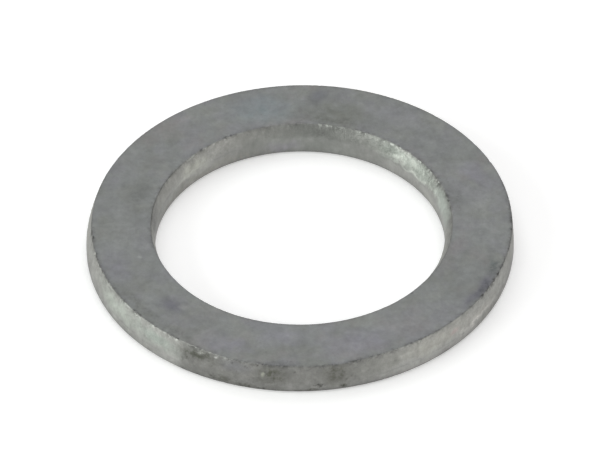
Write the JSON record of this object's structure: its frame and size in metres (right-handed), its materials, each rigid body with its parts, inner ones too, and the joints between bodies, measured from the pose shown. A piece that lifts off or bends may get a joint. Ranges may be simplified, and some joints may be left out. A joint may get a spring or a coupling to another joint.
{
  "type": "flat sealing washer",
  "caption": "Flat ring washer blanked from zinc-plated steel, with rounded lower edges, burnished lands and sloping break-away walls. It seals or spaces under a bolt head or fitting.",
  "frame": {"origin": "centre of the bore on the lower face, the one with the rounded edges", "axes": "+Z along the bore, from the lower face to the upper face; +X towards the side where the rim's break-away slope is narrowest"},
  "size_m": [0.018, 0.018, 0.0015],
  "materials": {
    "zinc_plated_steel": "dull grey zinc plate, mottled on the faces and brighter on the sheared walls"
  },
  "bodies": {
    "root": {"washer_ring": "zinc_plated_steel"}
  },
  "joints": []
}
